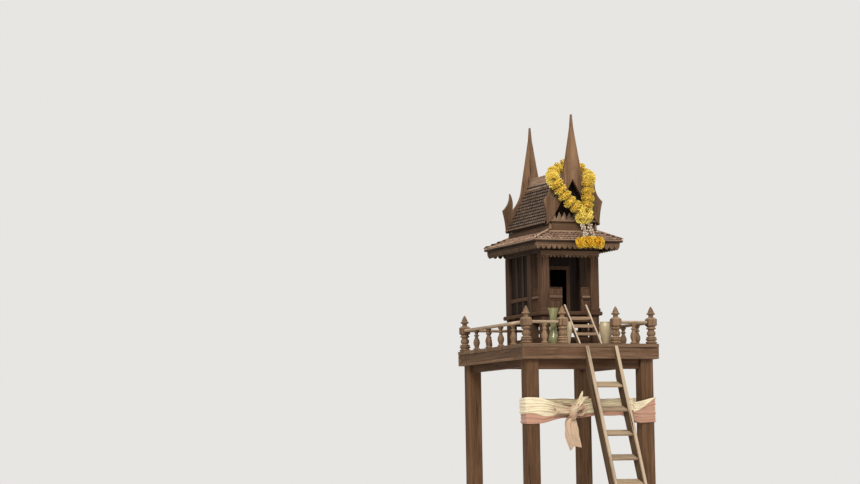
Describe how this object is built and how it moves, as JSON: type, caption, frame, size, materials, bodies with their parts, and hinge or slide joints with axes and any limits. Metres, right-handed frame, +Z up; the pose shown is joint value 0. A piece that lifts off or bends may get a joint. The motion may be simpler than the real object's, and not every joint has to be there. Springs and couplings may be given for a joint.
{
  "type": "spirit house on posts",
  "caption": "Small wooden shrine house on a railed deck carried by four posts, with ladders, a tiled roof with tall gable spires, a flower garland and a cloth sash.",
  "frame": {"origin": "on the ground, under the middle of the whole footprint, ladder included", "axes": "+X right along the front, +Y to the back of the house, +Z up"},
  "size_m": [0.62, 1.1928, 2.0795],
  "materials": {
    "post_wood": "weathered, matt",
    "deck_wood": "weathered, matt",
    "turned_wood": "worn stain, matt",
    "wall_wood": "dark stain, matt",
    "carved_wood": "dark stain, matt",
    "roof_tile": "weathered wooden scales, matt",
    "spire_wood": "bare weathered wood, matt",
    "ladder_wood": "bare weathered wood, matt",
    "marigold": "dense petals",
    "crown_flower": "soft white",
    "sash_cloth": "thin cotton, faded pink and cream",
    "green_glass": "green bottle glass",
    "white_glaze": "white glaze"
  },
  "bodies": {
    "root": {"leg_front_left": "post_wood", "leg_front_right": "post_wood", "leg_back_left": "post_wood", "leg_back_right": "post_wood", "header_beams": "post_wood", "deck_boards": "deck_wood", "deck_fascias": "deck_wood", "house_floor": "deck_wood", "house_stilts": "deck_wood", "base_beams": "deck_wood", "newel_posts": "turned_wood", "balusters": "turned_wood", "handrails": "turned_wood", "porch_posts": "wall_wood", "wall_posts": "wall_wood", "left_wall": "wall_wood", "right_wall": "wall_wood", "back_wall": "wall_wood", "front_wall_left": "wall_wood", "front_wall_right": "wall_wood", "wall_over_door": "wall_wood", "porch_panels": "wall_wood", "dado_rails": "wall_wood", "wall_battens": "wall_wood", "wall_plates": "wall_wood", "ceiling": "wall_wood", "eave_boards": "carved_wood", "porch_valance": "carved_wood", "frieze_boards": "carved_wood", "roof_kerbs": "carved_wood", "gable_panels": "carved_wood", "skirt_roof": "roof_tile", "roof_left": "roof_tile", "roof_right": "roof_tile", "ridge_cap": "roof_tile", "gable_boards_front": "spire_wood", "gable_boards_back": "spire_wood", "ladder_rails": "ladder_wood", "ladder_treads": "ladder_wood", "porch_ladder_rails": "ladder_wood", "porch_ladder_treads": "ladder_wood", "garland": "marigold", "flower_pendant": "marigold", "flower_strings": "crown_flower", "cloth_sash": "sash_cloth", "sash_bow": "sash_cloth", "green_vase": "green_glass", "white_vases": "white_glaze"}
  },
  "joints": []
}
